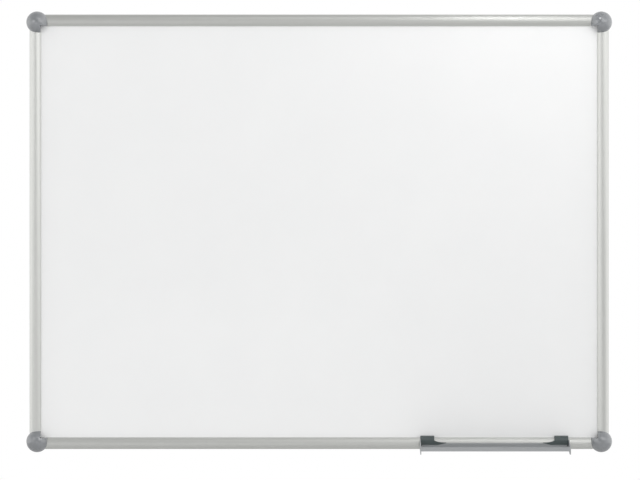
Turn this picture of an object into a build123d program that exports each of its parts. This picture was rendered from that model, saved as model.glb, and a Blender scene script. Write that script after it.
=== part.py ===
from build123d import *
from math import sqrt
import os

os.makedirs("parts", exist_ok=True)

# Magnetic whiteboard for a wall, 1200 x 900 mm, with ball corners and a sliding pen tray.
# Millimetres. X runs to the right, Z up, and the front faces -Y. The origin is the centre
# of the four wall screw holes, in the plane of the wall.

# Overall size
board_width = 1200.0
board_height = 900.0

# Laminated panel, from the front: enamelled steel, core and backing
steel_thickness = 0.5
core_thickness = 9.5
backing_thickness = 0.5
panel_rebate = 10.0
panel_gap = 0.3

# Aluminium frame extrusion, hollow, with a convex front
frame_width = 24.0
frame_depth = 22.0
frame_wall = 1.6
front_skin = 1.4
lip_thickness = 1.4
back_flange_reach = 21.0
frame_edge_round = 0.6
frame_setback = 31.0

# Ball corners: a base that joins the frame, and a cover that hides the wall screw
ball_radius = 22.4
ball_inset = 16.0
ball_depth = 15.5
block_round = 8.0
cap_wall = 2.2
cap_gap = 0.3
cap_edge_round = 0.8
boss_radius = 7.5
boss_height = 24.0
boss_moat_radius = 12.6
base_floor = 4.0
crop_clearance = 1.0
spigot_length = 40.0
spigot_gap = 0.2
spigot_wall = 2.4
spigot_lead_in = 1.2
spigot_pocket_length = 12.0

# Collar inside each cover, which grips the boss of the base
collar_gap = 0.3
collar_wall = 1.5
collar_foot_clearance = 0.5
collar_slot = 1.6
collar_slot_count = 3
collar_slot_turn = -75.0

# Wall screw hole in each base
wall_hole_radius = 2.75
wall_head_radius = 5.2
wall_screw_seat = 8.0

# Countersunk screws that hold the frame on the spigots
screw_radius = 1.4
screw_head_radius = 2.7
screw_length = 9.0
screw_gap = 0.05
screw_angle = 90.0
screw_flush = 0.1
cross_width = 0.7
cross_span = 3.0
cross_depth = 0.9

# Pen tray
tray_length = 300.0
tray_side_distance = 87.6
tray_wall = 1.6
tray_reach = 62.0
tray_floor_drop = 1.1
tray_lip_height = 7.4
tray_back_height = 13.5
tray_lip_bead = 1.1
tray_inner_round = 3.5
tray_outer_round = 1.8

# Tray end pieces
end_plate = 1.6
end_shoulder = 2.8
end_back_height = 20.0
end_drop = 7.8
end_foot = 9.0
end_front_round = 3.5
end_foot_round = 8.0
end_corner_round = 1.5
end_plug_length = 9.0
end_plug_wall = 1.4
end_fit = 0.2

# Hooks that hang the tray on the frame
clip_width = 28.3
clip_slide_gap = 0.3
clip_leg = 2.2
clip_fit = 0.1
clip_face = 1.6
clip_grip = 3.7
clip_shoulder_height = 17.0
clip_tip_height = 3.0
clip_surface_gap = 0.4
clip_toe_reach = 15.0
clip_gusset_reach = 24.0
clip_gusset_height = 5.6
clip_gusset_rim = 0.8
clip_apron_foot = 8.0
clip_toe_round = 1.6
clip_edge_round = 0.5

# Depths from the wall, worked out from the sizes above
panel_thickness = steel_thickness + core_thickness + backing_thickness
panel_back = frame_wall + panel_gap
panel_front = panel_back + panel_thickness
side_height = panel_front + lip_thickness
cap_rim = ball_depth + cap_gap

# The convex front is one arc over the full width of the frame
crest_rise = frame_depth - side_height
half_frame = frame_width / 2
crest_radius = (half_frame**2 + crest_rise**2) / (2 * crest_rise)
crest_centre = frame_depth - crest_radius

# Places across the frame, from its outer edge inwards
panel_edge = frame_width - panel_rebate
channel_web = panel_edge - panel_gap
chamber_width = channel_web - 2 * frame_wall
chamber_middle = frame_wall + chamber_width / 2
chamber_height = panel_front - frame_wall

# The panel's corners are cropped so that they pass the boss of the base
crop_reach = boss_radius + crop_clearance
crop_leg = 2 * ball_inset + sqrt(2) * crop_reach - 2 * panel_edge

# The two screws of a corner, one in each spigot
screw_along = frame_setback + spigot_length / 2
screw_places = ((screw_along, chamber_middle), (chamber_middle, screw_along))

# One plane per corner: local X and Y run inwards along the two edges, local Z to the front
half_width = board_width / 2
half_height = board_height / 2
to_front = (0, -1, 0)
to_wall = (0, 1, 0)
corner_planes = {
    "bl": Plane(origin=(-half_width, 0, -half_height), x_dir=(1, 0, 0), z_dir=to_front),
    "br": Plane(origin=(half_width, 0, -half_height), x_dir=(0, 0, 1), z_dir=to_front),
    "tr": Plane(origin=(half_width, 0, half_height), x_dir=(-1, 0, 0), z_dir=to_front),
    "tl": Plane(origin=(-half_width, 0, half_height), x_dir=(0, 0, -1), z_dir=to_front),
}


def screw_planes(corner):
    """The two screw places of a corner on the back of the frame, facing the wall."""
    points = [corner.from_local_coords((a, b, 0)) for a, b in screw_places]
    return [Plane(origin=p, x_dir=(1, 0, 0), z_dir=to_wall) for p in points]


def panel_layer(thickness, back):
    """One layer of the panel, with cropped corners, whose back is that far from the wall."""
    layer_plane = Plane(origin=(0, -back, 0), x_dir=(1, 0, 0), z_dir=to_front)
    with BuildPart() as layer:
        with BuildSketch(layer_plane) as outline:
            Rectangle(board_width - 2 * panel_edge, board_height - 2 * panel_edge)
            chamfer(outline.vertices(), length=crop_leg)
        extrude(amount=thickness)
    return layer.part


# Backing sheet, core board and writing surface
with BuildPart() as backing_sheet:
    add(panel_layer(backing_thickness, panel_back))
backing_sheet.part.label = "backing_sheet"
export_step(backing_sheet.part, "parts/backing_sheet.step")

with BuildPart() as core_board:
    add(panel_layer(core_thickness, panel_back + backing_thickness))
core_board.part.label = "core_board"
export_step(core_board.part, "parts/core_board.step")

with BuildPart() as writing_surface:
    add(panel_layer(steel_thickness, panel_back + backing_thickness + core_thickness))
writing_surface.part.label = "writing_surface"
export_step(writing_surface.part, "parts/writing_surface.step")


def covers(extent, point):
    """Whether a point lies inside a box, seen from the front."""
    across = extent.min.X < point.X < extent.max.X
    upright = extent.min.Z < point.Z < extent.max.Z
    return across and upright


# Cross-section of the frame: X across it from the outer edge, Y from the wall to the front
with BuildSketch() as frame_section:
    with BuildLine() as frame_outline:
        Polyline(
            (0, side_height),
            (0, 0),
            (back_flange_reach, 0),
            (back_flange_reach, frame_wall),
            (channel_web, frame_wall),
            (channel_web, panel_front),
            (frame_width, panel_front),
            (frame_width, side_height),
        )
        ThreePointArc((frame_width, side_height), (half_frame, frame_depth), (0, side_height))
    make_face()
    back_corners = frame_section.vertices().filter_by(lambda v: v.Y < frame_wall / 2)
    fillet(back_corners, radius=frame_edge_round)
    with Locations((chamber_middle, frame_wall)):
        Rectangle(chamber_width, chamber_height, align=(Align.CENTER, Align.MIN), mode=Mode.SUBTRACT)
    with BuildSketch(mode=Mode.SUBTRACT) as front_chamber:
        with Locations((half_frame, crest_centre)):
            Circle(crest_radius - front_skin)
        with Locations((half_frame, side_height)):
            Rectangle(
                frame_width, frame_depth, align=(Align.CENTER, Align.MIN), mode=Mode.INTERSECT
            )

# Where each frame member starts, which way it runs and which corners hold it
wide_run = board_width - 2 * frame_setback
high_run = board_height - 2 * frame_setback
frame_members = {
    "frame_bottom": ((-wide_run / 2, 0, -half_height), (0, 0, 1), (1, 0, 0), wide_run),
    "frame_top": ((wide_run / 2, 0, half_height), (0, 0, -1), (-1, 0, 0), wide_run),
    "frame_left": ((-half_width, 0, high_run / 2), (1, 0, 0), (0, 0, -1), high_run),
    "frame_right": ((half_width, 0, -high_run / 2), (-1, 0, 0), (0, 0, 1), high_run),
}
all_screw_planes = [plane for corner in corner_planes.values() for plane in screw_planes(corner)]

for member_name, (start, inward, along, run) in frame_members.items():
    with BuildPart() as frame_member:
        with BuildSketch(Plane(origin=start, x_dir=inward, z_dir=along)):
            add(frame_section.sketch)
        extrude(amount=run)
        extent = frame_member.part.bounding_box()
        for screw_plane in all_screw_planes:
            if covers(extent, screw_plane.origin):
                with Locations(screw_plane):
                    CounterSinkHole(
                        radius=screw_radius + screw_gap,
                        counter_sink_radius=screw_head_radius + screw_flush + screw_gap,
                        depth=2 * frame_wall,
                        counter_sink_angle=screw_angle,
                    )
    frame_member.part.label = member_name
    export_step(frame_member.part, f"parts/{member_name}.step")

# Corner bases: the rear of the ball on a block with the outline of the frame, a boss for the
# wall screw, and two spigots that slide into the frame's chambers
pocket_crop = 2 * ball_inset + sqrt(2) * (crop_reach - panel_gap) - channel_web
spigot_width = chamber_width - 2 * spigot_gap
spigot_height = chamber_height - 2 * spigot_gap
spigot_back = frame_wall + spigot_gap
spigot_core_width = spigot_width - 2 * spigot_wall
spigot_core_height = spigot_height - spigot_wall
tip_core_start = frame_setback + spigot_length - spigot_wall - spigot_pocket_length
root_core_start = frame_setback + spigot_wall
wide_box = 4 * ball_radius
along_edge = (1, 0)
up_edge = (0, 1)


def placed_box(corner_point, size, mode):
    """A box whose lowest corner is at a point."""
    with Locations(corner_point):
        Box(*size, align=(Align.MIN, Align.MIN, Align.MIN), mode=mode)


for corner_name, corner in corner_planes.items():
    with BuildPart(corner) as corner_base:
        with Locations((ball_inset, ball_inset, ball_depth)):
            Sphere(ball_radius)
        with Locations((frame_setback, frame_setback, 0)):
            Box(
                wide_box,
                wide_box,
                ball_depth,
                align=(Align.MAX, Align.MAX, Align.MIN),
                mode=Mode.INTERSECT,
            )
        with BuildSketch(corner) as block_outline:
            Rectangle(frame_setback, frame_setback, align=(Align.MIN, Align.MIN))
            outer_corner = block_outline.vertices().sort_by_distance((0, 0, 0))[0]
            fillet(outer_corner, radius=block_round)
        extrude(amount=side_height)

        # The pocket for the panel's cropped corner, and the square notch in front of it
        with BuildSketch(corner.offset(frame_wall)):
            Polygon(
                (channel_web, pocket_crop),
                (pocket_crop, channel_web),
                (wide_box, channel_web),
                (wide_box, wide_box),
                (channel_web, wide_box),
                align=None,
            )
        extrude(amount=chamber_height, mode=Mode.SUBTRACT)
        placed_box(
            (frame_width, frame_width, panel_front),
            (wide_box, wide_box, ball_depth),
            Mode.SUBTRACT,
        )

        # The moat round the boss, and the boss with its stepped hole
        with BuildSketch(corner.offset(base_floor)):
            with Locations((ball_inset, ball_inset)):
                Circle(boss_moat_radius)
                Circle(boss_radius, mode=Mode.SUBTRACT)
        extrude(amount=ball_depth, mode=Mode.SUBTRACT)
        with BuildSketch(corner):
            with Locations((ball_inset, ball_inset)):
                Circle(boss_radius)
        extrude(amount=boss_height)
        with Locations((ball_inset, ball_inset, boss_height)):
            CounterBoreHole(
                radius=wall_hole_radius,
                counter_bore_radius=wall_head_radius,
                counter_bore_depth=boss_height - wall_screw_seat,
                depth=boss_height,
            )

        # Two cored spigots
        for x_share, y_share in (along_edge, up_edge):
            spigot_size = (
                x_share * spigot_length + y_share * spigot_width,
                y_share * spigot_length + x_share * spigot_width,
                spigot_height,
            )
            spigot_start = (
                x_share * frame_setback + y_share * (frame_wall + spigot_gap),
                y_share * frame_setback + x_share * (frame_wall + spigot_gap),
                spigot_back,
            )
            placed_box(spigot_start, spigot_size, Mode.ADD)
            for core_start in (root_core_start, tip_core_start):
                core_size = (
                    x_share * spigot_pocket_length + y_share * spigot_core_width,
                    y_share * spigot_pocket_length + x_share * spigot_core_width,
                    spigot_core_height,
                )
                core_point = (
                    x_share * core_start + y_share * (frame_wall + spigot_gap + spigot_wall),
                    y_share * core_start + x_share * (frame_wall + spigot_gap + spigot_wall),
                    spigot_back + spigot_wall,
                )
                placed_box(core_point, core_size, Mode.SUBTRACT)

        for a, b in screw_places:
            with Locations(Location((a, b, spigot_back), (180, 0, 0))):
                Hole(radius=screw_radius + screw_gap, depth=screw_length)
        spigot_tips = [
            corner_base.faces().sort_by(Axis(corner.origin, direction))[-1]
            for direction in (corner.x_dir, corner.y_dir)
        ]
        for tip in spigot_tips:
            chamfer(tip.outer_wire().edges(), length=spigot_lead_in)
    corner_base.part.label = f"corner_base_{corner_name}"
    export_step(corner_base.part, f"parts/corner_base_{corner_name}.step")

# Ball covers: the front half of the ball as a shell, notched square along the frame's inner
# edges, cut to the frame's convex front, with a slotted collar that grips the boss
inner_radius = ball_radius - cap_wall
notch_inside = frame_width - cap_wall
collar_inside = boss_radius + collar_gap
collar_outside = collar_inside + collar_wall
collar_foot = cap_rim + collar_foot_clearance
collar_top = ball_depth + sqrt(inner_radius**2 - collar_inside**2) + cap_wall / 4
passage_radius = crest_radius + cap_gap
passage_start = frame_setback - cap_gap

with BuildPart() as cap_hollow:
    with Locations((ball_inset, ball_inset, ball_depth)):
        Sphere(inner_radius)
    placed_box((notch_inside, notch_inside, 0), (wide_box, wide_box, wide_box), Mode.SUBTRACT)

for corner_name, corner in corner_planes.items():
    with BuildPart(corner) as corner_cap:
        with Locations((ball_inset, ball_inset, ball_depth)):
            Sphere(ball_radius)
        with Locations((ball_inset, ball_inset, cap_rim)):
            Box(
                wide_box,
                wide_box,
                wide_box,
                align=(Align.CENTER, Align.CENTER, Align.MIN),
                mode=Mode.INTERSECT,
            )
        placed_box((frame_width, frame_width, 0), (wide_box, wide_box, wide_box), Mode.SUBTRACT)
        notch_rim = corner_cap.edges().filter_by(GeomType.CIRCLE).sort_by(Axis(corner.origin, to_front))
        fillet(notch_rim[-2:], radius=cap_edge_round)
        add(cap_hollow.part, mode=Mode.SUBTRACT)

        # Where the two frame members pass into the ball
        for place, turn in (
            ((passage_start, half_frame, crest_centre), (0, 90, 0)),
            ((half_frame, passage_start, crest_centre), (-90, 0, 0)),
        ):
            with Locations(Location(place, turn)):
                Cylinder(
                    passage_radius,
                    wide_box,
                    align=(Align.CENTER, Align.CENTER, Align.MIN),
                    mode=Mode.SUBTRACT,
                )

        # The slotted collar
        with BuildSketch(corner.offset(collar_foot)):
            with Locations((ball_inset, ball_inset)):
                Circle(collar_outside)
                Circle(collar_inside, mode=Mode.SUBTRACT)
                with PolarLocations(collar_inside, collar_slot_count, start_angle=collar_slot_turn):
                    Rectangle(2 * collar_wall + collar_slot, collar_slot, mode=Mode.SUBTRACT)
        extrude(amount=collar_top - collar_foot)
    corner_cap.part.label = f"corner_cap_{corner_name}"
    export_step(corner_cap.part, f"parts/corner_cap_{corner_name}.step")

# Eight countersunk screws, flush with the back of the frame
head_height = screw_head_radius - screw_radius
with BuildPart() as corner_screws:
    for screw_plane in all_screw_planes:
        seat_plane = screw_plane.offset(-screw_flush)
        with Locations(seat_plane):
            Cylinder(screw_radius, screw_length, align=(Align.CENTER, Align.CENTER, Align.MAX))
        with Locations(seat_plane):
            Cone(
                bottom_radius=screw_radius,
                top_radius=screw_head_radius,
                height=head_height,
                align=(Align.CENTER, Align.CENTER, Align.MAX),
            )
            Box(
                cross_span,
                cross_width,
                cross_depth,
                align=(Align.CENTER, Align.CENTER, Align.MAX),
                mode=Mode.SUBTRACT,
            )
            Box(
                cross_width,
                cross_span,
                cross_depth,
                align=(Align.CENTER, Align.CENTER, Align.MAX),
                mode=Mode.SUBTRACT,
            )
corner_screws.part.label = "corner_screws"
export_step(corner_screws.part, "parts/corner_screws.step")

# Pen tray. Its section is drawn with X as the distance from the wall and Y as the height
# above the lower edge of the board, and runs to the left from its right end
tray_right_x = half_width - tray_side_distance
tray_left_x = tray_right_x - tray_length
end_thickness = end_plate + end_shoulder
clip_back = frame_depth + clip_slide_gap
clip_leg_front = clip_back + clip_leg
tray_back_face = clip_leg_front + clip_fit
tray_back_front = tray_back_face + tray_wall
clip_face_back = tray_back_front + clip_fit
clip_front = clip_face_back + clip_face
tray_floor_top = tray_wall - tray_floor_drop
tray_lip_back = tray_reach - tray_wall


def section_plane(x):
    """The plane of the tray's section at a place along the board."""
    return Plane(origin=(x, 0, -half_height), x_dir=to_front, z_dir=(-1, 0, 0))


with BuildPart() as tray_trough:
    with BuildSketch(section_plane(tray_right_x)) as trough_section:
        with BuildLine():
            Polyline(
                (tray_back_face, tray_back_height),
                (tray_back_face, -tray_floor_drop),
                (tray_reach, -tray_floor_drop),
                (tray_reach, tray_lip_height),
                (tray_lip_back, tray_lip_height),
                (tray_lip_back, tray_floor_top),
                (tray_back_front, tray_floor_top),
                (tray_back_front, tray_back_height),
                close=True,
            )
        make_face()
        inner_corners = trough_section.vertices().filter_by(
            lambda v: abs(v.Y - tray_floor_top) < tray_wall / 4
        )
        fillet(inner_corners, radius=tray_inner_round)
        outer_corners = trough_section.vertices().filter_by(
            lambda v: abs(v.Y + tray_floor_drop) < tray_wall / 4
        )
        fillet(outer_corners, radius=tray_outer_round)
        with Locations((tray_reach - tray_lip_bead, tray_lip_height - tray_lip_bead)):
            Circle(tray_lip_bead)
        rim_corners = trough_section.vertices().filter_by(
            lambda v: abs(v.Y - tray_back_height) < tray_wall / 4
        )
        fillet(rim_corners, radius=tray_wall / 4)
    extrude(amount=tray_length)
tray_trough.part.label = "tray_trough"
export_step(tray_trough.part, "parts/tray_trough.step")

# End pieces: a thin plate that slopes from the top of the hook to the lip, with a foot below
# the trough's front, a shoulder that meets the trough's end, and a plug that follows the inside
# of its floor and lip
end_back_face = clip_leg_front + 2 * clip_fit
plug_floor = tray_floor_top + end_fit
plug_lip = tray_lip_back - end_fit
plug_top = tray_lip_height - 2 * tray_lip_bead - end_fit
for side_name, trough_end, outward in (("left", tray_left_x, -1), ("right", tray_right_x, 1)):
    outer_plane = section_plane(trough_end + outward * end_thickness)
    shoulder_plane = section_plane(trough_end + outward * end_shoulder)
    end_plane = section_plane(trough_end)
    with BuildPart() as tray_end:
        with BuildSketch(outer_plane) as plate_outline:
            with BuildLine():
                Polyline(
                    (end_back_face, end_back_height),
                    (clip_front, end_back_height),
                    (tray_reach, tray_lip_height),
                    (tray_reach, -end_drop),
                    (tray_reach - end_foot, -end_drop),
                    (end_back_face, -tray_floor_drop),
                    close=True,
                )
            make_face()
            foot_front = plate_outline.vertices().sort_by_distance((tray_reach, -end_drop, 0))[0]
            fillet(foot_front, radius=end_front_round)
            foot_back = plate_outline.vertices().sort_by_distance(
                (tray_reach - end_foot, -end_drop, 0)
            )[0]
            fillet(foot_back, radius=end_foot_round)
            other_corners = plate_outline.vertices().filter_by(
                lambda v: v.X < end_back_face + end_corner_round
                or v.Y > tray_lip_height - end_corner_round
            )
            fillet(other_corners, radius=end_corner_round)
        extrude(amount=outward * end_plate)
        with BuildSketch(shoulder_plane) as shoulder_outline:
            with Locations((end_back_face, -tray_floor_drop)):
                Rectangle(
                    tray_reach - end_back_face,
                    tray_lip_height + tray_floor_drop,
                    align=(Align.MIN, Align.MIN),
                )
            fillet(shoulder_outline.vertices(), radius=tray_lip_bead)
        extrude(amount=outward * end_shoulder)
        with BuildSketch(end_plane) as plug_outline:
            with BuildLine():
                Polyline(
                    (clip_front + tray_inner_round, plug_floor),
                    (plug_lip, plug_floor),
                    (plug_lip, plug_top),
                    (plug_lip - end_plug_wall, plug_top),
                    (plug_lip - end_plug_wall, plug_floor + end_plug_wall),
                    (clip_front + tray_inner_round, plug_floor + end_plug_wall),
                    close=True,
                )
            make_face()
            plug_corner = plug_outline.vertices().sort_by_distance((plug_lip, plug_floor, 0))[0]
            fillet(plug_corner, radius=tray_inner_round)
        extrude(amount=outward * end_plug_length)
    tray_end.part.label = f"tray_end_{side_name}"
    export_step(tray_end.part, f"parts/tray_end_{side_name}.step")

# Hooks, between the end plates: a bull-nosed block that follows the frame's convex front,
# straddles the rim of the trough's back wall, and has a toe under the frame
tip_depth = panel_front + clip_surface_gap
slide_radius = crest_radius + clip_slide_gap
tip_inside = half_frame + sqrt(slide_radius**2 - (tip_depth - crest_centre) ** 2)
tip_outside = frame_width + clip_tip_height
toe_top = -clip_slide_gap
toe_bottom = toe_top - clip_leg
slot_top = tray_back_height + clip_fit
face_bottom = slot_top - clip_grip
for side_name, trough_end, outward in (("left", tray_left_x, -1), ("right", tray_right_x, 1)):
    outer_x = trough_end + outward * (end_shoulder - clip_fit)
    inner_x = outer_x - outward * clip_width
    with BuildPart() as tray_clip:
        with BuildSketch(section_plane(outer_x)) as clip_section:
            with BuildLine():
                TangentArc(
                    (clip_front, clip_shoulder_height),
                    (tip_depth, tip_outside),
                    tangent=(0, 1),
                )
                Line((tip_depth, tip_outside), (tip_depth, tip_inside))
                ThreePointArc(
                    (tip_depth, tip_inside),
                    (
                        crest_centre + slide_radius * sqrt(1 / 2),
                        half_frame + slide_radius * sqrt(1 / 2),
                    ),
                    (crest_centre + slide_radius, half_frame),
                )
                Polyline(
                    (crest_centre + slide_radius, half_frame),
                    (clip_back, toe_top),
                    (clip_back - clip_toe_reach, toe_top),
                    (clip_back - clip_toe_reach, toe_bottom),
                    (clip_leg_front, toe_bottom),
                    (clip_leg_front, slot_top),
                    (clip_face_back, slot_top),
                    (clip_face_back, face_bottom),
                    (clip_front, face_bottom),
                    (clip_front, clip_shoulder_height),
                )
            make_face()
            heel = clip_section.vertices().sort_by_distance((clip_leg_front, toe_bottom, 0))[0]
            fillet(heel, radius=clip_toe_round)
        extrude(amount=outward * clip_width)
        nose_edges = tray_clip.edges().filter_by(GeomType.CIRCLE).sort_by(Axis.Z)[-2:]
        fillet(nose_edges, radius=clip_edge_round)

        # The gusset on the back wall's rim, and its apron down the front of that wall
        gusset_plane = Plane(
            origin=(inner_x, -clip_leg_front, -half_height + slot_top),
            x_dir=(-outward, 0, 0),
            z_dir=(0, outward, 0),
        )
        with BuildSketch(gusset_plane) as gusset_outline:
            Rectangle(
                clip_gusset_reach,
                clip_gusset_height + clip_gusset_rim,
                align=(Align.MIN, Align.MIN),
            )
            with Locations((clip_gusset_reach, clip_gusset_height + clip_gusset_rim)):
                Ellipse(clip_gusset_reach, clip_gusset_height, mode=Mode.SUBTRACT)
        extrude(amount=-outward * (clip_front - clip_leg_front))
        with BuildSketch(gusset_plane.offset(-outward * (clip_face_back - clip_leg_front))):
            with BuildLine():
                Polyline(
                    (-clip_face, 0),
                    (clip_gusset_reach, 0),
                    (clip_apron_foot, -clip_grip),
                    (-clip_face, -clip_grip),
                    close=True,
                )
            make_face()
        extrude(amount=-outward * clip_face)
    tray_clip.part.label = f"tray_clip_{side_name}"
    export_step(tray_clip.part, f"parts/tray_clip_{side_name}.step")
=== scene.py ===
import math

import bpy
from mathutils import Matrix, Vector


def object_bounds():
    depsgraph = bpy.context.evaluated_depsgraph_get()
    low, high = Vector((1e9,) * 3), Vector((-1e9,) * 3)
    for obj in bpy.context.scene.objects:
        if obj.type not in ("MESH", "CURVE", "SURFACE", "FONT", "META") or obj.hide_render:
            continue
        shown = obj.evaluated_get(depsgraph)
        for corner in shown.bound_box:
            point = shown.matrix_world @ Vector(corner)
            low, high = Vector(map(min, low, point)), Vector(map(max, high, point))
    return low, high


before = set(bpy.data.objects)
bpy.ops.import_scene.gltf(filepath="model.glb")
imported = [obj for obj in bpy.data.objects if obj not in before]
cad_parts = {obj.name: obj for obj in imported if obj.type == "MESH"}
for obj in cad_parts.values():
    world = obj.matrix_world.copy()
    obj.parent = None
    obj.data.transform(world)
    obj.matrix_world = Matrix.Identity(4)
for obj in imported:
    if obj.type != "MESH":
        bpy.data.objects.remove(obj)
cad_low, cad_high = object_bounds()

MM = 0.001

# The view: straight at the board from the front, from a little below its middle
CAMERA_PLACE = (0.0017, -5.2138, -0.017)
CAMERA_LENS = 141.2
SENSOR_WIDTH = 36.0

# The floor: how far below the board, its side, its tone, and the distances from its middle
# between which it passes into the white background
FLOOR_DROP = 0.55
FLOOR_SIZE = 7.0
FLOOR_TONE = 0.74
FLOOR_FADE_START = 1.5
FLOOR_FADE_END = 3.4

# How bright the room is towards each side, and how narrowly
ROOM = {
    ("X", -1): (1.75, 4.0),
    ("X", 1): (1.55, 2.0),
    ("Y", 1): (1.1, 2.0),
    ("Y", -1): (0.34, 2.0),
    ("Z", 1): (0.60, 2.0),
    ("Z", -1): (1.0, 2.0),
}

# The base colours of the extrusions
FRAME_TONE = (0.610, 0.616, 0.596)
TRAY_TONE = (0.465, 0.478, 0.488)

# The places of a Mix node's two inputs and its result, for each type of data
MIX_SOCKETS = {"VECTOR": (4, 5, 1), "RGBA": (6, 7, 2)}


# Helpers for nodes. Where a value may be given as another node's output or as a plain value,
# it goes through feed.
def add_node(tree, kind, inputs=None, **settings):
    """A shader node with its settings and unlinked input values."""
    made = tree.nodes.new(kind)
    for key, value in settings.items():
        setattr(made, key, value)
    for key, value in (inputs or {}).items():
        made.inputs[key].default_value = value
    return made


def feed(tree, given, socket):
    """Link an output to the socket, or set the socket's own value."""
    if isinstance(given, bpy.types.NodeSocket):
        tree.links.new(given, socket)
    else:
        socket.default_value = given


def calculate(tree, operation, *values, clamp=False):
    """The result of a sum on one to three values."""
    made = add_node(tree, "ShaderNodeMath", operation=operation, use_clamp=clamp)
    for value, socket in zip(values, made.inputs):
        feed(tree, value, socket)
    return made.outputs[0]


def mix(tree, kind, factor, first, second):
    """Two vectors or two colours, mixed by the factor."""
    first_socket, second_socket, result = MIX_SOCKETS[kind]
    made = add_node(tree, "ShaderNodeMix", data_type=kind)
    feed(tree, factor, made.inputs["Factor"])
    feed(tree, first, made.inputs[first_socket])
    feed(tree, second, made.inputs[second_socket])
    return made.outputs[result]


def object_place(tree):
    """The place on the object, in metres in its own frame."""
    return add_node(tree, "ShaderNodeTexCoord").outputs["Object"]


def stretched_noise(tree, scales, detail=3.0, roughness=0.55, seed=0.0):
    """Noise in object space, with its own frequency per metre along each axis."""
    mapping = add_node(tree, "ShaderNodeMapping", {"Scale": scales, "Location": (seed, seed, seed)})
    feed(tree, object_place(tree), mapping.inputs["Vector"])
    noise = add_node(
        tree, "ShaderNodeTexNoise", {"Scale": 1.0, "Detail": detail, "Roughness": roughness}
    )
    feed(tree, mapping.outputs["Vector"], noise.inputs["Vector"])
    return noise.outputs["Fac"]


def even_noise(tree, scale, **settings):
    """Noise of the same frequency per metre along all axes."""
    return stretched_noise(tree, (scale, scale, scale), **settings)


def ranged(tree, source, low, high, source_low=0.25, source_high=0.75):
    """The source's range turned into another range."""
    made = add_node(
        tree,
        "ShaderNodeMapRange",
        {"From Min": source_low, "From Max": source_high, "To Min": low, "To Max": high},
    )
    feed(tree, source, made.inputs["Value"])
    return made.outputs["Result"]


def two_colours(tree, source, low, high, source_low=0.3, source_high=0.7):
    """A colour that runs from one to another with the source."""
    ramp = add_node(tree, "ShaderNodeValToRGB")
    start, end = ramp.color_ramp.elements
    start.position = source_low
    start.color = (*low, 1)
    end.position = source_high
    end.color = (*high, 1)
    feed(tree, source, ramp.inputs["Fac"])
    return ramp.outputs["Color"]


def bump(tree, height, depth, strength, under=None):
    """A normal bent by the height, over another bump where one is given."""
    made = add_node(tree, "ShaderNodeBump", {"Strength": strength, "Distance": depth})
    feed(tree, height, made.inputs["Height"])
    if under is not None:
        feed(tree, under, made.inputs["Normal"])
    return made.outputs["Normal"]


def start_material(name, **constants):
    """A Principled material with constant socket values; returns it with its tree and shader."""
    material = bpy.data.materials.new(name)
    material.use_nodes = True
    tree = material.node_tree
    shader = tree.nodes["Principled BSDF"]
    for key, value in constants.items():
        shader.inputs[key.replace("_", " ")].default_value = value
    return material, tree, shader


def shade(colour, factor):
    """The colour made darker or lighter."""
    return tuple(channel * factor for channel in colour)


# The finishes. Scales are in waves per metre.
def enamel():
    """White baked enamel on steel: nearly even, with a faint orange peel and wiped haze."""
    material, tree, shader = start_material("writing_enamel", Coat_Weight=0.25, Coat_Roughness=0.12)
    haze = even_noise(tree, 7, detail=4)
    tone = two_colours(tree, haze, (0.868, 0.872, 0.872), (0.882, 0.885, 0.884))
    feed(tree, tone, shader.inputs["Base Color"])
    wiped = stretched_noise(tree, (22, 22, 60), detail=5, seed=3.0)
    feed(tree, ranged(tree, wiped, low=0.28, high=0.40), shader.inputs["Roughness"])
    peel = even_noise(tree, 420, detail=2)
    feed(tree, bump(tree, peel, depth=0.02 * MM, strength=0.35), shader.inputs["Normal"])
    return material


def aluminium(name, axis, colour, roughness):
    """Satin anodised extrusion, with fine draw lines that spread the gloss across its length."""
    across, along = 1900.0, 3.0
    broad_across, broad_along = 260.0, 0.9
    material, tree, shader = start_material(name, Metallic=1.0, Anisotropic=0.6)
    around = add_node(tree, "ShaderNodeTangent", direction_type="RADIAL", axis=axis)
    feed(tree, around.outputs["Tangent"], shader.inputs["Tangent"])
    line_scales = [along if side == axis else across for side in "XYZ"]
    band_scales = [broad_along if side == axis else broad_across for side in "XYZ"]
    lines = stretched_noise(tree, line_scales, detail=2)
    bands = stretched_noise(tree, band_scales, detail=3, seed=5.0)
    both = calculate(tree, "ADD", lines, bands)
    tone = two_colours(tree, both, shade(colour, 0.94), colour, source_low=0.7, source_high=1.3)
    feed(tree, tone, shader.inputs["Base Color"])
    worn = ranged(
        tree, both, low=roughness - 0.05, high=roughness + 0.05, source_low=0.6, source_high=1.4
    )
    feed(tree, worn, shader.inputs["Roughness"])
    grain = even_noise(tree, 5200, detail=1)
    drawn = bump(tree, lines, depth=0.006 * MM, strength=0.5)
    etched = bump(tree, grain, depth=0.004 * MM, strength=0.3, under=drawn)
    feed(tree, etched, shader.inputs["Normal"])
    return material


def moulded(name, colour, roughness, grain_depth=0.02 * MM, **constants):
    """Moulded plastic with a fine eroded grain and slight flow marks."""
    material, tree, shader = start_material(name, **constants)
    flow = even_noise(tree, 60, detail=4)
    tone = two_colours(tree, flow, shade(colour, 0.95), shade(colour, 1.05))
    feed(tree, tone, shader.inputs["Base Color"])
    worn = even_noise(tree, 240, detail=3, seed=2.0)
    spread = ranged(tree, worn, low=roughness - 0.04, high=roughness + 0.06)
    feed(tree, spread, shader.inputs["Roughness"])
    grain = even_noise(tree, 1600, detail=2)
    feed(tree, bump(tree, grain, depth=grain_depth, strength=0.5), shader.inputs["Normal"])
    return material


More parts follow.
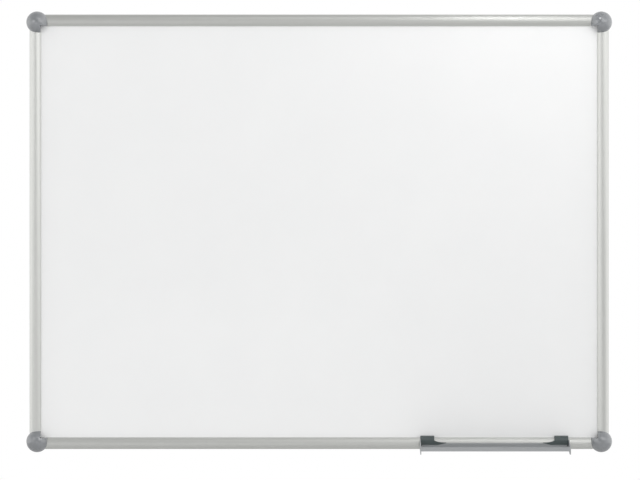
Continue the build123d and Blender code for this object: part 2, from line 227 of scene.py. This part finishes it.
def galvanised():
    """Zinc-coated sheet with a spangle of flat crystals."""
    material, tree, shader = start_material("backing_zinc", Metallic=1.0)
    where = object_place(tree)
    bent = add_node(tree, "ShaderNodeTexNoise", {"Scale": 90.0, "Detail": 1.0})
    feed(tree, where, bent.inputs["Vector"])
    edges = mix(tree, "VECTOR", 0.008, where, bent.outputs["Color"])
    crystals = add_node(tree, "ShaderNodeTexVoronoi", {"Scale": 75.0, "Randomness": 1.0})
    feed(tree, edges, crystals.inputs["Vector"])
    brightness = add_node(tree, "ShaderNodeRGBToBW")
    feed(tree, crystals.outputs["Color"], brightness.inputs["Color"])
    grey = brightness.outputs["Val"]
    tone = two_colours(
        tree, grey, (0.50, 0.52, 0.54), (0.59, 0.61, 0.63), source_low=0.1, source_high=0.9
    )
    feed(tree, tone, shader.inputs["Base Color"])
    dulled = ranged(tree, grey, low=0.34, high=0.52, source_low=0.0, source_high=1.0)
    feed(tree, dulled, shader.inputs["Roughness"])
    rolled = stretched_noise(tree, (3, 400, 400), detail=2)
    feed(tree, bump(tree, rolled, depth=0.02 * MM, strength=0.4), shader.inputs["Normal"])
    return material


def fibreboard():
    """Pressed fibre core, brown with darker flecks."""
    material, tree, shader = start_material("core_fibreboard", Roughness=0.85)
    fibres = stretched_noise(tree, (500, 1400, 500), detail=5, roughness=0.7)
    tone = two_colours(tree, fibres, (0.30, 0.19, 0.10), (0.56, 0.41, 0.26))
    feed(tree, tone, shader.inputs["Base Color"])
    feed(tree, bump(tree, fibres, depth=0.15 * MM, strength=0.7), shader.inputs["Normal"])
    return material


def zinc_screw():
    """Zinc-plated steel, flecked and with a slight yellow cast."""
    material, tree, shader = start_material("screw_zinc", Metallic=1.0)
    flecks = even_noise(tree, 900, detail=3)
    tone = two_colours(tree, flecks, (0.52, 0.51, 0.47), (0.70, 0.69, 0.66))
    feed(tree, tone, shader.inputs["Base Color"])
    feed(tree, ranged(tree, flecks, low=0.22, high=0.40), shader.inputs["Roughness"])
    feed(tree, bump(tree, flecks, depth=0.01 * MM, strength=0.4), shader.inputs["Normal"])
    return material


# Each piece's finish, by the start of its name
along_x = aluminium("frame_aluminium_x", "X", FRAME_TONE, roughness=0.46)
along_z = aluminium("frame_aluminium_z", "Z", FRAME_TONE, roughness=0.46)
finishes = {
    "writing_surface": enamel(),
    "core_board": fibreboard(),
    "backing_sheet": galvanised(),
    "frame_top": along_x,
    "frame_bottom": along_x,
    "frame_left": along_z,
    "frame_right": along_z,
    "corner_base": moulded("base_plastic", (0.20, 0.21, 0.22), roughness=0.52),
    "corner_cap": moulded(
        "cover_plastic",
        (0.205, 0.215, 0.227),
        roughness=0.48,
        grain_depth=0.006 * MM,
        Coat_Weight=0.8,
        Coat_Roughness=0.11,
        Coat_IOR=1.8,
    ),
    "corner_screws": zinc_screw(),
    "tray_trough": aluminium("tray_aluminium", "X", TRAY_TONE, roughness=0.40),
    "tray_end": moulded("end_plastic", (0.36, 0.37, 0.38), roughness=0.45),
    "tray_clip": moulded("hook_plastic", (0.060, 0.078, 0.078), roughness=0.42),
}
for name, cad_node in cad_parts.items():
    start = next(key for key in finishes if name.startswith(key))
    cad_node.data.materials.clear()
    cad_node.data.materials.append(finishes[start])


# The studio
def area_light(name, place, target, size, watts):
    """A soft rectangular lamp that faces the target."""
    lamp = bpy.data.lights.new(name, "AREA")
    lamp.shape = "RECTANGLE"
    lamp.size, lamp.size_y = size
    lamp.energy = watts
    held = bpy.data.objects.new(name, lamp)
    bpy.context.scene.collection.objects.link(held)
    held.location = place
    aim = Vector(target) - Vector(place)
    held.rotation_euler = aim.to_track_quat("-Z", "Y").to_euler()


area_light("key", place=(1.7, -3.5, 2.3), target=(0.1, 0, 0), size=(1.8, 1.8), watts=13.5)
area_light("key_top", place=(0.3, -2.6, 2.4), target=(0, 0, 0), size=(2.0, 1.0), watts=7.0)
area_light("window", place=(0.95, -2.2, 0.75), target=(0.3, 0, 0.1), size=(1.2, 1.0), watts=3.0)
area_light("window_far", place=(1.6, -3.4, 1.0), target=(0.2, 0, 0), size=(1.6, 1.2), watts=3.0)
area_light("window_near", place=(0.9, -1.3, 0.6), target=(0.5, 0, 0.2), size=(0.8, 0.6), watts=0.25)
area_light("overhead", place=(0.3, -0.6, 1.3), target=(0.1, 0, -0.2), size=(1.6, 0.4), watts=0.4)
area_light("left_far", place=(-2.6, -3.2, 0.2), target=(0, 0, 0), size=(1.8, 1.8), watts=6.6)
area_light("left_wide", place=(-2.4, -1.7, -0.1), target=(-0.2, 0, 0), size=(1.2, 1.2), watts=1.6)
area_light("left_top", place=(-1.4, -1.4, 0.6), target=(-0.5, 0, 0.2), size=(0.8, 0.8), watts=2.4)
area_light("low", place=(-0.6, -3.2, -0.55), target=(0, 0, 0.1), size=(1.8, 0.7), watts=5.0)
area_light("right_high", place=(2.2, -1.9, 0.9), target=(0.3, 0, 0.1), size=(1.2, 1.2), watts=5.0)
# Seen in the gloss of the upper right cover
area_light("corner", place=(0.42, -0.49, 0.85), target=(0.58, 0, 0.43), size=(0.16, 0.16), watts=0.5)


def background_rays(tree, depth):
    """1 where the white background shows: to the camera, through clear things, and in the gloss
    of metal that reflects what lies behind the object, where depth is above 0."""
    rays = add_node(tree, "ShaderNodeLightPath")
    behind = calculate(tree, "MULTIPLY", rays.outputs["Is Glossy Ray"], depth, clamp=True)
    passed = calculate(tree, "MAXIMUM", rays.outputs["Is Transmission Ray"], behind)
    return calculate(tree, "MAXIMUM", rays.outputs["Is Camera Ray"], passed)


def split_axes(tree, vector):
    """A vector's parts along X, Y and Z."""
    made = add_node(tree, "ShaderNodeSeparateXYZ")
    feed(tree, vector, made.inputs["Vector"])
    return made.outputs


def studio_world():
    """The room's light, and the white background."""
    world = bpy.data.worlds.new("studio")
    world.use_nodes = True
    sky = world.node_tree
    background = sky.nodes["Background"]
    background.inputs["Strength"].default_value = 1.0
    direction = split_axes(sky, add_node(sky, "ShaderNodeTexCoord").outputs["Generated"])
    room = 0.0
    for (axis, sign), (brightness, narrowness) in ROOM.items():
        towards = calculate(sky, "MULTIPLY", direction[axis], sign, clamp=True)
        lobe = calculate(sky, "POWER", towards, narrowness)
        room = calculate(sky, "MULTIPLY_ADD", lobe, brightness, room)
    white = (1, 1, 1, 1)
    tone = mix(sky, "RGBA", background_rays(sky, direction["Y"]), room, white)
    feed(sky, tone, background.inputs["Color"])
    return world


def floor_paper():
    """Pale paper that passes into the white background away from the object."""
    material, tree, shader = start_material("floor_paper", Roughness=0.9)
    shader.inputs["Base Color"].default_value = (FLOOR_TONE, FLOOR_TONE, FLOOR_TONE, 1)
    where = object_place(tree)
    reach = add_node(tree, "ShaderNodeVectorMath", operation="LENGTH")
    feed(tree, where, reach.inputs[0])
    fade = add_node(
        tree,
        "ShaderNodeMapRange",
        {"From Min": FLOOR_FADE_START, "From Max": FLOOR_FADE_END},
        interpolation_type="SMOOTHSTEP",
    )
    feed(tree, reach.outputs["Value"], fade.inputs["Value"])
    seen = background_rays(tree, split_axes(tree, where)["Y"])
    share = calculate(tree, "MULTIPLY", fade.outputs["Result"], seen)
    white = add_node(tree, "ShaderNodeEmission", {"Color": (1, 1, 1, 1), "Strength": 1.0})
    blend = add_node(tree, "ShaderNodeMixShader")
    paper_socket, white_socket = 1, 2
    feed(tree, share, blend.inputs["Fac"])
    feed(tree, shader.outputs["BSDF"], blend.inputs[paper_socket])
    feed(tree, white.outputs["Emission"], blend.inputs[white_socket])
    feed(tree, blend.outputs["Shader"], tree.nodes["Material Output"].inputs["Surface"])
    # The white is only seen, and lights nothing
    material.cycles.emission_sampling = "NONE"
    return material


bpy.context.scene.world = studio_world()

half = FLOOR_SIZE / 2
corners = [(-half, -half, 0), (half, -half, 0), (half, half, 0), (-half, half, 0)]
floor_mesh = bpy.data.meshes.new("floor")
floor_mesh.from_pydata(corners, [], [(0, 1, 2, 3)])
floor_mesh.materials.append(floor_paper())
floor = bpy.data.objects.new("floor", floor_mesh)
floor.location = (0, 0, cad_low.z - FLOOR_DROP)
bpy.context.scene.collection.objects.link(floor)

camera_data = bpy.data.cameras.new("camera")
camera_data.lens = CAMERA_LENS
camera_data.sensor_width = SENSOR_WIDTH
camera = bpy.data.objects.new("camera", camera_data)
camera.location = CAMERA_PLACE
camera.rotation_euler = (math.radians(90), 0, 0)
bpy.context.scene.collection.objects.link(camera)
bpy.context.scene.camera = camera
bpy.context.scene.view_settings.view_transform = "Standard"
